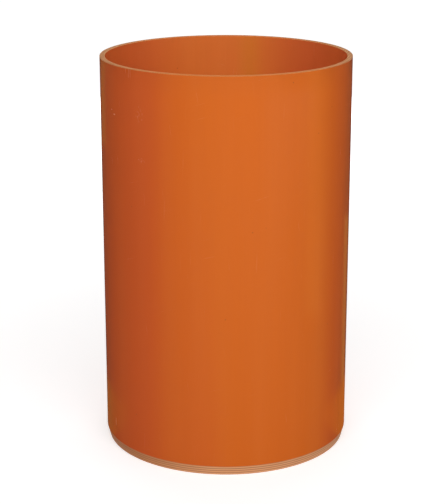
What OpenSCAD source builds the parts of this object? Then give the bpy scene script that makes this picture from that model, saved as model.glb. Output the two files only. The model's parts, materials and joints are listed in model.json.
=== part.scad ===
// Manhole riser pipe: one length of extruded PVC-U pipe that carries the shaft of an
// inspection chamber up to the ground. It stands on its spigot end, which is chamfered
// so that it pushes into a socket past the seal. The upper end is sawn square.
// The origin is on the pipe's axis in the plane of the spigot end, and +Z runs up it.

/* [Pipe] */
// Outside diameter
outside_d = 315; // [200:5:630]
// Length from end to end
pipe_l = 500; // [150:10:3000]
// Wall thickness
wall_t = 6.6; // [4:0.1:15]

/* [Spigot end] */
// Length of the turned chamfer along the pipe
chamfer_l = 12; // [6:0.5:20]
// Angle of the chamfer to the pipe's axis
chamfer_angle = 15; // [10:1:30]
// Narrowest end face that the chamfer may leave
end_face_t = 1.5; // [0.5:0.5:2]
// Width of the arris scraped off the edge of the bore
spigot_arris = 0.5; // [0.1:0.1:1]

/* [Sawn end] */
// Width of the arris scraped off both edges of the cut
sawn_arris = 0.4; // [0.1:0.1:1]

/* [Hidden] */

outside_r = outside_d / 2;
bore_r = outside_r - wall_t;
// The chamfer keeps its angle, and stops short where the wall is too thin for its length
chamfer_depth = min(chamfer_l * tan(chamfer_angle), wall_t - spigot_arris - end_face_t);
chamfer_h = chamfer_depth / tan(chamfer_angle);
pvc_orange = "#d06628";
round_fn = 180;

// Section of the wall: X is the distance from the pipe's axis, and Y the height
module wall_section() {
    polygon([
        [bore_r, spigot_arris],
        [bore_r + spigot_arris, 0],
        [outside_r - chamfer_depth, 0],
        [outside_r, chamfer_h],
        [outside_r, pipe_l - sawn_arris],
        [outside_r - sawn_arris, pipe_l],
        [bore_r + sawn_arris, pipe_l],
        [bore_r, pipe_l - sawn_arris]
    ]);
}

module riser_pipe() {
    color(pvc_orange)
        rotate_extrude($fn = round_fn) wall_section();
}

riser_pipe();
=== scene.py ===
import json
import math

import bpy
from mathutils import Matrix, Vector


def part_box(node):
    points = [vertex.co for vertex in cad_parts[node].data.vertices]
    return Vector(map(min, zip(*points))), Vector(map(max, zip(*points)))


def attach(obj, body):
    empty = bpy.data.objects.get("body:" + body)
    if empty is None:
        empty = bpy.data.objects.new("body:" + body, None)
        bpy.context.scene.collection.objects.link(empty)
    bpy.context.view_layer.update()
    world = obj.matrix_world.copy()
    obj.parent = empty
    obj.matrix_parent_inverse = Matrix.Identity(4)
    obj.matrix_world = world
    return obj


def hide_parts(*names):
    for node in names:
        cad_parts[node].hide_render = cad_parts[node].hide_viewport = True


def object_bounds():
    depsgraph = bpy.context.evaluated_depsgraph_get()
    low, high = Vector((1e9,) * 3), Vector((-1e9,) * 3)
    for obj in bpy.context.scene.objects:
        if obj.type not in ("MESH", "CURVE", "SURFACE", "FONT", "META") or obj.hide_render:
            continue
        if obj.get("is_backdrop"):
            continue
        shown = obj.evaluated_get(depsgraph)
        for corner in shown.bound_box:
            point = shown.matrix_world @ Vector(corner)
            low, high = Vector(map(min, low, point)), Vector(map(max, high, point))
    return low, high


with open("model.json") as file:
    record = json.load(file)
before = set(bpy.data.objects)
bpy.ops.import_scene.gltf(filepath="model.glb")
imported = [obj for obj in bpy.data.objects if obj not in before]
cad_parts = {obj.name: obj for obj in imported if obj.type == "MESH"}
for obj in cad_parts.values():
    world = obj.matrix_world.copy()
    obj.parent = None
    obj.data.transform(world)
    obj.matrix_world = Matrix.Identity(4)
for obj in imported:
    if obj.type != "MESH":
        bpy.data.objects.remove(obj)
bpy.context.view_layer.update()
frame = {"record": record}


# ---- The riser pipe ------------------------------------------------------------------
# One plain length of orange-brown PVC-U drain pipe, of the kind that makes the shaft of an
# inspection chamber. It is extruded with an even wall and coloured right through, sawn
# square at the top, and given its chamfer by a cutter at the spigot end that it stands on.

MM = 0.001
mounts = {mount["name"]: mount for mount in frame["record"]["mounts"]}
outer_r = mounts["spigot"]["dims"]["r_mm"] * MM
bore_r = mounts["bore"]["dims"]["r_mm"] * MM
chamfer_top = mounts["spigot"]["pos_m"][2]
pipe_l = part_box("riser_pipe")[1].z
sawn_arris = pipe_l - mounts["top_end"]["pos_m"][2]
spigot_arris = 0.5 * MM
chamfer_angle = math.radians(15)
tip_r = outer_r - chamfer_top * math.tan(chamfer_angle)
pvc_ior = 1.53

# The saw stands beside the pipe as it cuts, so its teeth leave shallow arcs across the rim.
# The chamfering cutter goes round the pipe and down it, and leaves a groove at each turn.
# Real arcs and grooves are about 1 mm apart, and are drawn three times as coarse so that
# they show.
saw_centre = (-0.38, 0.12, 0)
saw_pitch = 3.4 * MM
tool_feed = 3.0 * MM

# The section of the wall, walked from the chamfer's top up the outside, across the sawn
# end, down the bore and across the spigot's end. Each stretch is (start, rings, finish).
SKIN, SAWN, TURNED = range(3)
stretches = [
    ((outer_r, chamfer_top), 18, SKIN),
    ((outer_r, pipe_l - sawn_arris), 2, SAWN),
    ((outer_r - sawn_arris, pipe_l), 8, SAWN),
    ((bore_r + sawn_arris, pipe_l), 2, SAWN),
    ((bore_r, pipe_l - sawn_arris), 18, SKIN),
    ((bore_r, spigot_arris), 2, TURNED),
    ((bore_r + spigot_arris, 0), 4, TURNED),
    ((tip_r, 0), 22, TURNED),
]
edge_hold = 0.12 * MM  # rings this close to a corner keep it crisp under smooth shading
points, outward, finish, relief = [], [], [], []
for (start, rings, kind), (end, _, _) in zip(stretches, stretches[1:] + stretches[:1]):
    start, end = Vector(start), Vector(end)
    run = (end - start).length
    along = (end - start) / run
    spans = [0, edge_hold] + [run * n / rings for n in range(1, rings)] + [run - edge_hold]
    for span in spans:
        r, z = start + along * span
        points.append((r, 0, z))
        outward.append((along.y, 0, -along.x))
        finish.append(kind)
        relief.append(0.0 if min(span, run - span) <= edge_hold else 1.0)

section = bpy.data.meshes.new("wall_section")
section.from_pydata(points, [(n, (n + 1) % len(points)) for n in range(len(points))], [])
attribute = section.attributes.new("outward", "FLOAT_VECTOR", "POINT")
attribute.data.foreach_set("vector", [c for v in outward for c in v])
attribute = section.attributes.new("finish", "INT", "POINT")
attribute.data.foreach_set("value", finish)
attribute = section.attributes.new("relief", "FLOAT", "POINT")
attribute.data.foreach_set("value", relief)


def add_node(tree, kind, inputs=None, **settings):
    """Adds a node with its settings. An input takes a value, or the node or socket to link."""
    node = tree.nodes.new(kind)
    for name, value in settings.items():
        setattr(node, name, value)
    for name, value in (inputs or {}).items():
        if isinstance(name, str):
            name = next(n for n, s in enumerate(node.inputs) if s.name == name and s.enabled)
        if isinstance(value, bpy.types.Node):
            value = next(s for s in value.outputs if s.enabled)
        if isinstance(value, bpy.types.NodeSocket):
            tree.links.new(value, node.inputs[name])
        else:
            node.inputs[name].default_value = value
    return node


def colour(code):
    """Linear RGBA of an sRGB hex colour."""
    shares = [int(code[n:n + 2], 16) / 255 for n in (0, 2, 4)]
    linear = [s / 12.92 if s <= 0.04045 else ((s + 0.055) / 1.055) ** 2.4 for s in shares]
    return linear + [1]


def new_material(name):
    """A material with one Principled shader. Returns the material, its tree and the shader."""
    material = bpy.data.materials.new(name)
    material.use_nodes = True
    return material, material.node_tree, material.node_tree.nodes["Principled BSDF"]


def wave_scale(pitch):
    """The Scale at which a Wave texture repeats every pitch metres."""
    return math.pi / 10 / pitch


# Extruded PVC-U. The sizing sleeve leaves an even half gloss and faint lines along the pipe,
# the pigment drifts a little in tone, and handling scuffs the skin paler. Its colour also
# holds painted shade, a painted reflection in the bore and a painted highlight under the rim.
skin, tree, shader = new_material("pvc_u_extruded_skin")
place = add_node(tree, "ShaderNodeTexCoord").outputs["Object"]
x_y_z = add_node(tree, "ShaderNodeSeparateXYZ", {"Vector": place}).outputs
level = add_node(tree, "ShaderNodeVectorMath", {0: place, 1: (1, 1, 0)}, operation="MULTIPLY")
radius = add_node(tree, "ShaderNodeVectorMath", {0: level}, operation="LENGTH")
forward = add_node(tree, "ShaderNodeMath", {0: x_y_z[1], 1: -1.0}, operation="MULTIPLY")
azimuth = add_node(tree, "ShaderNodeMath", {0: x_y_z[0], 1: forward}, operation="ARCTAN2")
round_wall = add_node(tree, "ShaderNodeMath", {0: azimuth, 1: outer_r}, operation="MULTIPLY")
# The wall laid flat: metres round it to the right of the front, radius, height.
unrolled = add_node(tree, "ShaderNodeCombineXYZ",
                    {"X": round_wall, "Y": radius, "Z": x_y_z[2]})

drawn = add_node(tree, "ShaderNodeMapping", {"Vector": place, "Scale": (1, 1, 0.04)})
long_drawn = add_node(tree, "ShaderNodeMapping", {"Vector": place, "Scale": (1, 1, 0.06)})
drift_and_side_shade = add_node(tree, "ShaderNodeTexNoise",
                 {"Vector": long_drawn, "W": 33.5, "Scale": 1 / (180 * MM), "Detail": 1.0},
                 noise_dimensions="4D")
clouds = add_node(tree, "ShaderNodeTexNoise",
                  {"Vector": drawn, "Scale": 1 / (30 * MM), "Detail": 1.0})
lines = add_node(tree, "ShaderNodeTexNoise",
                 {"Vector": drawn, "Scale": 1 / (5 * MM), "Detail": 3.0, "Roughness": 0.6})
peel = add_node(tree, "ShaderNodeTexNoise",
                {"Vector": place, "Scale": 1 / (7 * MM), "Detail": 1.0})

# Specks of badly mixed pigment. Real ones are about 0.5 mm, and these are drawn 1 mm across
# so that they show.
speck_gap = 16 * MM
cells = add_node(tree, "ShaderNodeTexVoronoi", {"Vector": place, "Scale": 1 / speck_gap})
near = add_node(tree, "ShaderNodeMapRange",
                {"Value": cells, "From Min": 0.5 * MM / speck_gap,
                 "From Max": 0.9 * MM / speck_gap, "To Min": 1.0, "To Max": 0.0})
chance = add_node(tree, "ShaderNodeSeparateColor", {"Color": cells.outputs["Color"]})
chosen = add_node(tree, "ShaderNodeMath", {0: chance, 1: 0.85}, operation="GREATER_THAN")
specks = add_node(tree, "ShaderNodeMath", {0: near, 1: chosen}, operation="MULTIPLY")

# Hairline scratches, most of them along the pipe, where it was slid over others: degrees
# off the pipe's line, then width, length and rarity.
scrapes_and_edge_highlight = None
for tilt, width, length, rarity in (
    (2, 0.7 * MM, 60 * MM, 0.78),
    (-9, 0.6 * MM, 35 * MM, 0.79),
    (74, 0.7 * MM, 40 * MM, 0.8),
):
    stretched = add_node(tree, "ShaderNodeMapping",
                         {"Vector": unrolled, "Rotation": (0, math.radians(tilt), 0),
                          "Scale": (width, 1, length)}, vector_type="TEXTURE")
    hairs = add_node(tree, "ShaderNodeTexNoise",
                     {"Vector": stretched, "Scale": 1.0, "Detail": 0.0})
    hairs = add_node(tree, "ShaderNodeMapRange",
                     {"Value": hairs, "From Min": rarity, "From Max": rarity + 0.08,
                      "To Max": 0.12})
    if scrapes_and_edge_highlight:
        hairs = add_node(tree, "ShaderNodeMath", {0: scrapes_and_edge_highlight, 1: hairs}, operation="MAXIMUM")
    scrapes_and_edge_highlight = hairs

# Single knocks: degrees left of the front, height, then their width, height and strength.
rough_edge = add_node(tree, "ShaderNodeTexNoise",
                      {"Vector": place, "Scale": 1 / (1.2 * MM), "Detail": 1.0})
mark_reach = 2 * MM  # how far from the outside a mark fades out, so that none is in the bore
for left, height, wide, tall, strength in (
    (59, pipe_l - 60 * MM, 2.4 * MM, 1.0 * MM, 4.5),
    (61.5, pipe_l - 55 * MM, 1.8 * MM, 1.0 * MM, 0.9),
    (64, 35 * MM, 1.3 * MM, 7 * MM, 1.05),
):
    centre = (-math.radians(left) * outer_r, outer_r, height)
    there = add_node(tree, "ShaderNodeMapping",
                     {"Vector": unrolled, "Location": centre,
                      "Scale": (wide, mark_reach, tall)}, vector_type="TEXTURE")
    knock = add_node(tree, "ShaderNodeTexGradient", {"Vector": there},
                     gradient_type="SPHERICAL")
    knock = add_node(tree, "ShaderNodeMath", {0: knock, 1: rough_edge}, operation="MULTIPLY")
    knock = add_node(tree, "ShaderNodeMath", {0: knock, 1: strength}, operation="MULTIPLY")
    scrapes_and_edge_highlight = add_node(tree, "ShaderNodeMath", {0: scrapes_and_edge_highlight, 1: knock}, operation="MAXIMUM")

# Patches of fine nicks: degrees left, height, the patch's width and height, one nick's
# width and height, strength.
for left, height, wide, tall, nick_w, nick_h, strength in (
    (47, pipe_l, 9 * MM, 14 * MM, 1.0 * MM, 30 * MM, 0.7),
    (41, pipe_l - 53 * MM, 9 * MM, 14 * MM, 1.0 * MM, 2.5 * MM, 0.4),
    (40, pipe_l - 108 * MM, 8 * MM, 6 * MM, 0.9 * MM, 1.6 * MM, 0.35),
):
    centre = (-math.radians(left) * outer_r, outer_r, height)
    there = add_node(tree, "ShaderNodeMapping",
                     {"Vector": unrolled, "Location": centre,
                      "Scale": (wide, mark_reach, tall)}, vector_type="TEXTURE")
    patch = add_node(tree, "ShaderNodeTexGradient", {"Vector": there},
                     gradient_type="SPHERICAL")
    stretched = add_node(tree, "ShaderNodeMapping",
                         {"Vector": unrolled, "Scale": (nick_w, 1, nick_h)},
                         vector_type="TEXTURE")
    nicks = add_node(tree, "ShaderNodeTexNoise",
                     {"Vector": stretched, "Scale": 1.0, "Detail": 0.0})
    nicks = add_node(tree, "ShaderNodeMapRange",
                     {"Value": nicks, "From Min": 0.6, "From Max": 0.7, "To Max": strength})
    patch = add_node(tree, "ShaderNodeMath", {0: patch, 1: nicks}, operation="MULTIPLY")
    scrapes_and_edge_highlight = add_node(tree, "ShaderNodeMath", {0: scrapes_and_edge_highlight, 1: patch}, operation="MAXIMUM")

# Both cut edges of the skin are painted pale: wear from handling, and under the rim also a
# painted highlight where the arris catches the light.
pale_edge_w = 0.6 * MM
for edge, pale_edge_end in (
    (pipe_l - sawn_arris, pipe_l - sawn_arris - pale_edge_w),
    (chamfer_top, chamfer_top + pale_edge_w),
):
    rubbed_and_highlit = add_node(tree, "ShaderNodeMapRange",
                      {"Value": x_y_z[2], "From Min": pale_edge_end, "From Max": edge,
                       "To Max": 0.5})
    rubbed_and_highlit = add_node(tree, "ShaderNodeMath", {0: rubbed_and_highlit, 1: rough_edge},
                      operation="MULTIPLY")
    scrapes_and_edge_highlight = add_node(tree, "ShaderNodeMath", {0: scrapes_and_edge_highlight, 1: rubbed_and_highlit}, operation="MAXIMUM")
scrapes_and_edge_highlight = add_node(tree, "ShaderNodeMath", {0: scrapes_and_edge_highlight, 1: 1.0}, operation="MINIMUM")

# The pigment's drifting tone, slow round the pipe and slower along it. Its seed puts the more
# red end down the left side, where it is painted shade.
drift_and_side_shade = add_node(tree, "ShaderNodeMapRange",
                 {"Value": drift_and_side_shade, "From Min": 0.35, "From Max": 0.53},
                 interpolation_type="SMOOTHSTEP")
tone = add_node(tree, "ShaderNodeMix",
                {"Factor": drift_and_side_shade, "A": colour("ca551e"), "B": colour("d06317")},
                data_type="RGBA")
clouds = add_node(tree, "ShaderNodeMapRange",
                  {"Value": clouds, "From Min": 0.35, "From Max": 0.65, "To Max": 0.08})
tone = add_node(tree, "ShaderNodeMix", {"Factor": clouds, "A": tone, "B": colour("dc7a38")},
                data_type="RGBA")
# The bore never touched the sizing sleeve, and is a shade chalkier than the outside.
in_bore = add_node(tree, "ShaderNodeMath", {0: radius, 1: (outer_r + bore_r) / 2},
                   operation="LESS_THAN")
chalk = add_node(tree, "ShaderNodeMath", {0: in_bore, 1: 0.2}, operation="MULTIPLY")
tone = add_node(tree, "ShaderNodeMix", {"Factor": chalk, "A": tone, "B": colour("ffa060")},
                data_type="RGBA")
# Both sides of the bore, to the left and right of the front, are painted more red, as painted
# shade.
across = add_node(tree, "ShaderNodeMath", {0: x_y_z[0]}, operation="ABSOLUTE")
painted_bore_side_shade = add_node(tree, "ShaderNodeMapRange",
                  {"Value": across, "From Min": 0.3 * bore_r, "From Max": 0.9 * bore_r,
                   "To Max": 0.4})
painted_bore_side_shade = add_node(tree, "ShaderNodeMath", {0: in_bore, 1: painted_bore_side_shade}, operation="MULTIPLY")
tone = add_node(tree, "ShaderNodeMix", {"Factor": painted_bore_side_shade, "A": tone, "B": colour("cc4c30")},
                data_type="RGBA")
# A more yellow streak down the back of the bore, a little to the right, is a painted
# reflection.
bore_reflection_azimuth = math.radians(168)
bore_reflection_half_width = math.radians(9)
aside = add_node(tree, "ShaderNodeMath", {0: azimuth, 1: bore_reflection_azimuth},
                 operation="SUBTRACT")
aside = add_node(tree, "ShaderNodeMath", {0: aside}, operation="ABSOLUTE")
painted_bore_reflection = add_node(tree, "ShaderNodeMapRange",
                    {"Value": aside, "From Min": bore_reflection_half_width, "From Max": 0.0,
                     "To Max": 0.16}, interpolation_type="SMOOTHSTEP")
painted_bore_reflection = add_node(tree, "ShaderNodeMath", {0: in_bore, 1: painted_bore_reflection}, operation="MULTIPLY")
tone = add_node(tree, "ShaderNodeMix", {"Factor": painted_bore_reflection, "A": tone, "B": colour("cc9214")},
                data_type="RGBA")
# Over the plastic's own tones go the drawn lines, the specks, and the scratches, knocks and
# pale edges, the last partly painted highlight.
streaks = add_node(tree, "ShaderNodeMapRange",
                   {"Value": lines, "From Min": 0.4, "From Max": 0.8, "To Max": 0.06})
tone = add_node(tree, "ShaderNodeMix", {"Factor": streaks, "A": tone, "B": colour("b5521d")},
                data_type="RGBA")
tone = add_node(tree, "ShaderNodeMix", {"Factor": specks, "A": tone, "B": colour("a44f20")},
                data_type="RGBA")
pale = add_node(tree, "ShaderNodeMath", {0: scrapes_and_edge_highlight, 1: 0.55}, operation="MULTIPLY")
tone = add_node(tree, "ShaderNodeMix", {"Factor": pale, "A": tone, "B": colour("e2a472")},
                data_type="RGBA")
tree.links.new(tone.outputs[2], shader.inputs["Base Color"])

dullness = add_node(tree, "ShaderNodeMapRange",
                    {"Value": lines, "From Min": 0.3, "From Max": 0.7, "To Min": 0.22,
                     "To Max": 0.24})
dullness = add_node(tree, "ShaderNodeMix", {"Factor": scrapes_and_edge_highlight, "A": dullness, "B": 0.6})
tree.links.new(dullness.outputs[0], shader.inputs["Roughness"])

texture = add_node(tree, "ShaderNodeBump", {"Height": peel, "Distance": 0.02 * MM})
texture = add_node(tree, "ShaderNodeBump",
                   {"Height": lines, "Distance": 0.004 * MM, "Normal": texture})
texture = add_node(tree, "ShaderNodeBump",
                   {"Height": scrapes_and_edge_highlight, "Distance": 0.05 * MM, "Normal": texture},
                   invert=True)
tree.links.new(texture.outputs[0], shader.inputs["Normal"])
shader.inputs["IOR"].default_value = pvc_ior

# The same PVC-U where the saw tore through it: dull and pale, whitened along the teeth's
# arcs, with a crumbled grain between them. The real grain is finer, and wouldn't show.
sawn, tree, shader = new_material("pvc_u_sawn")
place = add_node(tree, "ShaderNodeTexCoord").outputs["Object"]
from_saw = add_node(tree, "ShaderNodeMapping", {"Vector": place, "Location": saw_centre},
                    vector_type="TEXTURE")
arcs = add_node(tree, "ShaderNodeTexWave",
                {"Vector": from_saw, "Scale": wave_scale(saw_pitch), "Distortion": 1.5,
                 "Detail": 1.0, "Detail Scale": 0.4},
                wave_type="RINGS", rings_direction="Z")
grain = add_node(tree, "ShaderNodeTexNoise",
                 {"Vector": place, "Scale": 1 / (1.2 * MM), "Detail": 3.0})
torn = add_node(tree, "ShaderNodeMath", {0: arcs, 1: grain}, operation="MULTIPLY")
tone = add_node(tree, "ShaderNodeMix",
                {"Factor": torn, "A": colour("bc7844"), "B": colour("f2ba80")},
                data_type="RGBA")
# The knife that took the arris off the bore left the rim's inner edge clean and pale, and the
# pale band there is partly a painted highlight on that arris.
level = add_node(tree, "ShaderNodeVectorMath", {0: place, 1: (1, 1, 0)}, operation="MULTIPLY")
radius = add_node(tree, "ShaderNodeVectorMath", {0: level}, operation="LENGTH")
trimmed_and_highlit = add_node(tree, "ShaderNodeMapRange",
                   {"Value": radius, "From Min": bore_r + 1.0 * MM,
                    "From Max": bore_r + 0.4 * MM, "To Max": 0.6})
tone = add_node(tree, "ShaderNodeMix", {"Factor": trimmed_and_highlit, "A": tone, "B": colour("f0b874")},
                data_type="RGBA")
# The blade went in at one side and out at the other. In between it cut smoother, and left
# more of the plastic's own orange.
across = add_node(tree, "ShaderNodeSeparateXYZ", {"Vector": place}).outputs["X"]
across = add_node(tree, "ShaderNodeMath", {0: across}, operation="ABSOLUTE")
orange_share = add_node(tree, "ShaderNodeMapRange",
                  {"Value": across, "From Min": 0.3 * outer_r, "From Max": outer_r,
                   "To Min": 0.8, "To Max": 0.0})
tone = add_node(tree, "ShaderNodeMix", {"Factor": orange_share, "A": tone, "B": colour("e2802e")},
                data_type="RGBA")
# Handling has left the outer edge of the cut grimy.
grime = add_node(tree, "ShaderNodeMapRange",
                 {"Value": radius, "From Min": outer_r - 1.2 * MM,
                  "From Max": outer_r - 0.6 * MM, "To Max": 0.3})
tone = add_node(tree, "ShaderNodeMix", {"Factor": grime, "A": tone, "B": colour("9a5428")},
                data_type="RGBA")
tree.links.new(tone.outputs[2], shader.inputs["Base Color"])
dullness = add_node(tree, "ShaderNodeMapRange",
                    {"Value": grain, "To Min": 0.75, "To Max": 0.95})
tree.links.new(dullness.outputs[0], shader.inputs["Roughness"])
texture = add_node(tree, "ShaderNodeBump", {"Height": grain, "Distance": 0.08 * MM})
tree.links.new(texture.outputs[0], shader.inputs["Normal"])
shader.inputs["IOR"].default_value = pvc_ior
shader.inputs["Specular IOR Level"].default_value = 0.2

# The same PVC-U turned to the chamfer: pale and nearly matt, in fine bands round the pipe.
turned, tree, shader = new_material("pvc_u_turned")
place = add_node(tree, "ShaderNodeTexCoord").outputs["Object"]
bands = add_node(tree, "ShaderNodeTexWave",
                 {"Vector": place, "Scale": wave_scale(tool_feed), "Distortion": 0.6,
                  "Detail": 1.0, "Detail Scale": 0.2},
                 wave_type="BANDS", bands_direction="Z")
hoop = add_node(tree, "ShaderNodeMapping", {"Vector": place, "Scale": (0.08, 0.08, 1)})
uneven = add_node(tree, "ShaderNodeTexNoise",
                  {"Vector": hoop, "Scale": 1 / (2 * MM), "Detail": 2.0})
streaks = add_node(tree, "ShaderNodeMix", {"Factor": 0.3, "A": bands, "B": uneven})
tone = add_node(tree, "ShaderNodeMix",
                {"Factor": streaks, "A": colour("a55c2e"), "B": colour("eeb480")},
                data_type="RGBA")
# The chamfer is painted a darker orange-brown down its left side, as painted shade.
across = add_node(tree, "ShaderNodeSeparateXYZ", {"Vector": place}).outputs["X"]
orange_share = add_node(tree, "ShaderNodeMapRange",
                  {"Value": across, "From Min": -0.15 * outer_r,
                   "From Max": -0.75 * outer_r, "To Max": 0.6})
tone = add_node(tree, "ShaderNodeMix", {"Factor": orange_share, "A": tone, "B": colour("a85c14")},
                data_type="RGBA")
tree.links.new(tone.outputs[2], shader.inputs["Base Color"])
dullness = add_node(tree, "ShaderNodeMapRange",
                    {"Value": uneven, "To Min": 0.6, "To Max": 0.8})
tree.links.new(dullness.outputs[0], shader.inputs["Roughness"])
texture = add_node(tree, "ShaderNodeBump", {"Height": uneven, "Distance": 0.06 * MM})
tree.links.new(texture.outputs[0], shader.inputs["Normal"])
shader.inputs["IOR"].default_value = pvc_ior

# The tree turns the section round the axis and cuts each finish's relief into the wall.
turning = bpy.data.node_groups.new("turned_section", "GeometryNodeTree")
sizes = {
    "Segments": ("Int", 960),
    "Die Line Spacing": ("Float", 30 * MM),
    "Die Line Depth": ("Float", 0.1 * MM),
    "Saw Centre": ("Vector", saw_centre),
    "Saw Pitch": ("Float", saw_pitch),
    "Saw Mark Depth": ("Float", 0.08 * MM),
    "Tool Feed": ("Float", tool_feed),
    "Tool Mark Depth": ("Float", 0.08 * MM),
    "Seed": ("Float", 4.0),
    "Skin": ("Material", skin),
    "Sawn": ("Material", sawn),
    "Turned": ("Material", turned),
}
turning.interface.new_socket("Section", in_out="INPUT", socket_type="NodeSocketGeometry")
sockets = {}
for name, (kind, _) in sizes.items():
    sockets[name] = turning.interface.new_socket(name, in_out="INPUT",
                                                 socket_type=f"NodeSocket{kind}")
turning.interface.new_socket("Pipe", in_out="OUTPUT", socket_type="NodeSocketGeometry")
given = add_node(turning, "NodeGroupInput").outputs

# A grid with one row for each point of the section and one column for each step round.
count = add_node(turning, "GeometryNodeAttributeDomainSize", {"Geometry": given["Section"]})
columns = add_node(turning, "FunctionNodeIntegerMath", {0: given["Segments"], 1: 1},
                   operation="ADD")
rows = add_node(turning, "FunctionNodeIntegerMath", {0: count, 1: 1}, operation="ADD")
shape = add_node(turning, "GeometryNodeMeshGrid", {"Vertices X": rows, "Vertices Y": columns})
index = add_node(turning, "GeometryNodeInputIndex")
row = add_node(turning, "FunctionNodeIntegerMath", {0: index, 1: columns}, operation="DIVIDE")
row = add_node(turning, "FunctionNodeIntegerMath", {0: row, 1: count}, operation="MODULO")
step = add_node(turning, "FunctionNodeIntegerMath", {0: index, 1: columns},
                operation="MODULO")
# Clockwise from above, so that the faces point outwards.
turn = add_node(turning, "ShaderNodeMath", {0: -2 * math.pi, 1: given["Segments"]},
                operation="DIVIDE")
turn = add_node(turning, "ShaderNodeMath", {0: turn, 1: step}, operation="MULTIPLY")
position = add_node(turning, "GeometryNodeInputPosition")
spot = add_node(turning, "GeometryNodeSampleIndex",
                {"Geometry": given["Section"], "Value": position, "Index": row},
                data_type="FLOAT_VECTOR")
spot = add_node(turning, "ShaderNodeVectorRotate", {"Vector": spot, "Angle": turn},
                rotation_type="Z_AXIS")
shape = add_node(turning, "GeometryNodeSetPosition", {"Geometry": shape, "Position": spot})

# How deep each finish is cut, from 0 to 1, at every point.
seed, blade = given["Seed"], given["Saw Centre"]
drawn = add_node(turning, "ShaderNodeVectorMath", {0: spot, 1: (1, 1, 0.03)},
                 operation="MULTIPLY")
fineness = add_node(turning, "ShaderNodeMath", {0: 1.0, 1: given["Die Line Spacing"]},
                    operation="DIVIDE")
die_lines = add_node(turning, "ShaderNodeTexNoise",
                     {"Vector": drawn, "W": seed, "Scale": fineness, "Detail": 1.0},
                     noise_dimensions="4D")
flat = add_node(turning, "ShaderNodeVectorMath", {0: spot, 1: (1, 1, 0)},
                operation="MULTIPLY")
reach = add_node(turning, "ShaderNodeVectorMath", {0: flat, 1: blade}, operation="DISTANCE")
height = add_node(turning, "ShaderNodeSeparateXYZ", {"Vector": spot}).outputs["Z"]
depths = {"Die Line Depth": (SKIN, die_lines)}
for name, kind, distance, pitch in (
    ("Saw Mark Depth", SAWN, reach, given["Saw Pitch"]),
    ("Tool Mark Depth", TURNED, height, given["Tool Feed"]),
):
    wave = add_node(turning, "ShaderNodeMath", {0: distance, 1: pitch}, operation="DIVIDE")
    wave = add_node(turning, "ShaderNodeMath", {0: wave, 1: 2 * math.pi},
                    operation="MULTIPLY")
    wave = add_node(turning, "ShaderNodeMath", {0: wave}, operation="SINE")
    wave = add_node(turning, "ShaderNodeMapRange", {"Value": wave, "From Min": -1.0})
    depths[name] = (kind, wave)

# The relief is cut square to the wall, and fades to nothing at its corners.
fields = {}
for name, kind in (("outward", "FLOAT_VECTOR"), ("finish", "INT"), ("relief", "FLOAT")):
    named = add_node(turning, "GeometryNodeInputNamedAttribute", {"Name": name},
                     data_type=kind)
    fields[name] = add_node(turning, "GeometryNodeSampleIndex",
                            {"Geometry": given["Section"], "Value": named, "Index": row},
                            data_type=kind)
way_in = add_node(turning, "ShaderNodeVectorRotate",
                  {"Vector": fields["outward"], "Angle": turn}, rotation_type="Z_AXIS")
way_in = add_node(turning, "ShaderNodeVectorMath", {0: way_in, "Scale": -1.0},
                  operation="SCALE")
for name, (kind, share) in depths.items():
    cut = add_node(turning, "ShaderNodeMath", {0: share, 1: given[name]},
                   operation="MULTIPLY")
    cut = add_node(turning, "ShaderNodeMath", {0: cut, 1: fields["relief"]},
                   operation="MULTIPLY")
    cut = add_node(turning, "ShaderNodeVectorMath", {0: way_in, "Scale": cut},
                   operation="SCALE")
    here = add_node(turning, "FunctionNodeCompare", {2: fields["finish"], 3: kind},
                    data_type="INT", operation="EQUAL")
    shape = add_node(turning, "GeometryNodeSetPosition",
                     {"Geometry": shape, "Selection": here, "Offset": cut})

# Each face takes the finish of its row. Then the seam is closed and the materials go on.
face_row = add_node(turning, "FunctionNodeIntegerMath", {0: index, 1: given["Segments"]},
                    operation="DIVIDE")
named = add_node(turning, "GeometryNodeInputNamedAttribute", {"Name": "finish"},
                 data_type="INT")
of_face = add_node(turning, "GeometryNodeSampleIndex",
                   {"Geometry": given["Section"], "Value": named, "Index": face_row},
                   data_type="INT")
shape = add_node(turning, "GeometryNodeStoreNamedAttribute",
                 {"Geometry": shape, "Name": "finish", "Value": of_face},
                 data_type="INT", domain="FACE")
shape = add_node(turning, "GeometryNodeMergeByDistance",
                 {"Geometry": shape, "Distance": 0.001 * MM})
shape = add_node(turning, "GeometryNodeSetShadeSmooth", {"Geometry": shape})
shape = add_node(turning, "GeometryNodeRealizeInstances", {"Geometry": shape})
shape = add_node(turning, "GeometryNodeSetMaterial",
                 {"Geometry": shape, "Material": given["Skin"]})
for kind, name in ((SAWN, "Sawn"), (TURNED, "Turned")):
    here = add_node(turning, "FunctionNodeCompare", {2: named, 3: kind},
                    data_type="INT", operation="EQUAL")
    shape = add_node(turning, "GeometryNodeSetMaterial",
                     {"Geometry": shape, "Selection": here, "Material": given[name]})
add_node(turning, "NodeGroupOutput", {"Pipe": shape})

blank = bpy.data.objects.new("section_to_turn", section)
bpy.context.scene.collection.objects.link(blank)
lathe = blank.modifiers.new("turn", "NODES")
lathe.node_group = turning
for name, (_, value) in sizes.items():
    lathe[sockets[name].identifier] = value
turned_blank = blank.evaluated_get(bpy.context.evaluated_depsgraph_get())
solid = bpy.data.meshes.new_from_object(turned_blank)
solid.materials.pop(index=0)  # the empty slot that the blank brings
bpy.data.objects.remove(blank)
pipe = bpy.data.objects.new("extruded_pipe", solid)
bpy.context.scene.collection.objects.link(pipe)

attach(pipe, "root")
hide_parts("riser_pipe")


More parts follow.
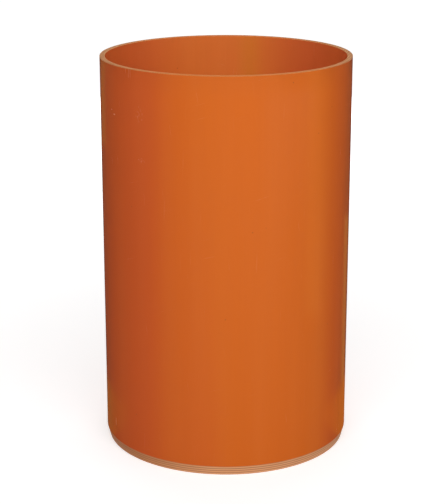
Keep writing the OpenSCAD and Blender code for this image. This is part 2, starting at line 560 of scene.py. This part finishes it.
# ---- The floor and the white room ----------------------------------------------------
# A floor of matt white paper in a plain white room, which aren't part of the pipe. They
# look white behind it but light it only gently, and the floor keeps its soft shadow.
def seen_as_background(tree):
    """1 for the rays that see the background itself: straight, in gloss or through glass."""
    rays = add_node(tree, "ShaderNodeLightPath").outputs
    seen = rays["Is Camera Ray"]
    for name in ("Is Glossy Ray", "Is Transmission Ray"):
        seen = add_node(tree, "ShaderNodeMath", {0: seen, 1: rays[name]},
                        operation="MAXIMUM")
    return seen


floor_half = 30
floor_corners = [
    (-floor_half, -floor_half, 0),
    (floor_half, -floor_half, 0),
    (floor_half, floor_half, 0),
    (-floor_half, floor_half, 0),
]
floor_mesh = bpy.data.meshes.new("studio_floor")
floor_mesh.from_pydata(floor_corners, [], [(0, 1, 2, 3)])
floor = bpy.data.objects.new("studio_floor", floor_mesh)
bpy.context.scene.collection.objects.link(floor)
paper = bpy.data.materials.new("matt_white_paper")
paper.use_nodes = True
tree = paper.node_tree
tree.nodes.clear()
matt = add_node(tree, "ShaderNodeBsdfDiffuse", {"Color": colour("e6e6e6")})
# The lamps light the middle of the floor, so it needs less glow than the far floor to be
# white.
place = add_node(tree, "ShaderNodeTexCoord").outputs["Object"]
reach = add_node(tree, "ShaderNodeVectorMath", {0: place}, operation="LENGTH")
evening = add_node(tree, "ShaderNodeMapRange",
                   {"Value": reach, "From Min": 0.3, "From Max": 2.4,
                    "To Min": 0.47, "To Max": 0.84}, interpolation_type="SMOOTHSTEP")
glow = add_node(tree, "ShaderNodeMath", {0: seen_as_background(tree), 1: evening},
                operation="MULTIPLY")
glow = add_node(tree, "ShaderNodeEmission", {"Strength": glow})
both = add_node(tree, "ShaderNodeAddShader", {0: matt, 1: glow})
add_node(tree, "ShaderNodeOutputMaterial", {"Surface": both})
floor_mesh.materials.append(paper)
floor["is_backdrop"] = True

world = bpy.data.worlds.new("studio")
bpy.context.scene.world = world
world.use_nodes = True
tree = world.node_tree
tree.nodes.clear()
fill = add_node(tree, "ShaderNodeBackground", {"Color": (1, 1, 1, 1), "Strength": 0.22})
white = add_node(tree, "ShaderNodeBackground", {"Color": (1, 1, 1, 1), "Strength": 1.0})
mix = add_node(tree, "ShaderNodeMixShader", {0: seen_as_background(tree), 1: fill, 2: white})
add_node(tree, "ShaderNodeOutputWorld", {"Surface": mix})


# ---- The softboxes -------------------------------------------------------------------
# Six plain white lamps. A wide one in front and above does most of the work, two low ones
# lift the sides without lighting the bore, and the widest one lights the back.
def softbox(name, azimuth, elevation, distance, size, watts):
    """A white area lamp that faces the pipe's middle. The camera doesn't see the lamp."""
    data = bpy.data.lights.new(name, "AREA")
    data.shape = "RECTANGLE"
    data.size, data.size_y = size
    data.energy = watts
    lamp = bpy.data.objects.new(name, data)
    a, e = math.radians(azimuth), math.radians(elevation)
    back = Vector((math.sin(a) * math.cos(e), -math.cos(a) * math.cos(e), math.sin(e)))
    centre = Vector((0, 0, pipe_l / 2))
    lamp.location = centre + back * distance
    lamp.rotation_euler = (-back).to_track_quat("-Z", "Y").to_euler()
    lamp.visible_camera = False
    bpy.context.scene.collection.objects.link(lamp)


softbox("wide_front", 3, 31, 2.6, (3.0, 1.4), 50.5)
softbox("low_right", 60, 6, 2.6, (2.4, 1.0), 7)
softbox("low_left", -80, 6, 2.6, (2.4, 1.0), 4)
softbox("front_left", -40, 38, 2.2, (1.2, 1.2), 2)
softbox("right", 60, 38, 2.2, (1.2, 1.2), 2.5)
softbox("rear", 180, 14, 2.2, (3.6, 1.6), 33)


# ---- The cards round the pipe --------------------------------------------------------
# Card bent round the pipe and laid on the floor, seen only in the pipe's gloss. Charcoal
# card keeps the white room out of it, and gives the pipe its dark edges. Ochre and orange
# cards just inside make the warm bands down its sides and warm its lower edges.
def card_round_pipe(name, colour_code, strength, left, right, section):
    """A glowing card with this section, bent round the axis from left to right, in degrees."""
    facet = 7.5
    steps = math.ceil((right - left) / facet)
    card_points, card_faces = [], []
    for n in range(steps + 1):
        a = math.radians(left + (right - left) * n / steps)
        for r, z in section:
            card_points.append((r * math.sin(a), -r * math.cos(a), z))
    wide = len(section)
    for n in range(steps):
        for k in range(wide - 1):
            corner = n * wide + k
            card_faces.append((corner, corner + 1, corner + wide + 1, corner + wide))
    card_mesh = bpy.data.meshes.new(name)
    card_mesh.from_pydata(card_points, [], card_faces)
    card = bpy.data.objects.new(name, card_mesh)
    bpy.context.scene.collection.objects.link(card)
    paint = bpy.data.materials.new(name)
    paint.use_nodes = True
    tree = paint.node_tree
    tree.nodes.clear()
    glow = add_node(tree, "ShaderNodeEmission",
                    {"Color": colour(colour_code), "Strength": strength})
    add_node(tree, "ShaderNodeOutputMaterial", {"Surface": glow})
    card_mesh.materials.append(paint)
    card.visible_camera = False
    card.visible_diffuse = False
    card.visible_shadow = False
    card.visible_transmission = False
    card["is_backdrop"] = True


card_r = 0.25
charcoal_section = ((outer_r + 4 * MM, 0.5 * MM), (card_r, 0.5 * MM), (card_r, 0.55))
card_round_pipe("charcoal_card", "383838", 1.0, -180, 180, charcoal_section)
band_r = card_r - 5 * MM
for name, strength, left, right, low, high in (
    ("ochre_card_right", 0.95, 54, 67, 0.16, 0.49),
    ("ochre_card_right_low", 0.75, 108, 117, 0.02, 0.26),
    ("ochre_card_left", 0.45, -117, -107, 0.36, 0.49),
):
    card_round_pipe(name, "c0a058", strength, left, right, ((band_r, low), (band_r, high)))
foot_r, foot_z = card_r - 8 * MM, 1.5 * MM
foot_section = ((outer_r + 4.5 * MM, foot_z), (foot_r, foot_z), (foot_r, 20 * MM))
card_round_pipe("orange_card_foot_right", "c07a30", 0.9, 76, 150, foot_section)
card_round_pipe("ochre_card_foot_left", "c0a058", 0.35, -150, -76, foot_section)
# The floor inside the pipe is lit by the orange bore, and its gloss has to see it so.
inside = ((1 * MM, 1 * MM), (bore_r - 3 * MM, 1 * MM))
card_round_pipe("floor_in_bore", "a85a28", 0.6, -180, 180, inside)


# ---- The camera ----------------------------------------------------------------------
# It stands about two metres in front of the pipe and 0.3 m above its rim, and looks down far
# enough to see into it. The long lens keeps its sides nearly parallel.
camera_dip = math.radians(16.63)
camera_data = bpy.data.cameras.new("camera")
camera_data.sensor_width = 36
camera_data.lens = 109.5
camera = bpy.data.objects.new("camera", camera_data)
camera.location = (-4.5 * MM, -1.900, 0.810)
camera.rotation_euler = (math.radians(90) - camera_dip, 0, 0)
bpy.context.scene.collection.objects.link(camera)
bpy.context.scene.camera = camera
bpy.context.scene.view_settings.view_transform = "Standard"

low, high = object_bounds()
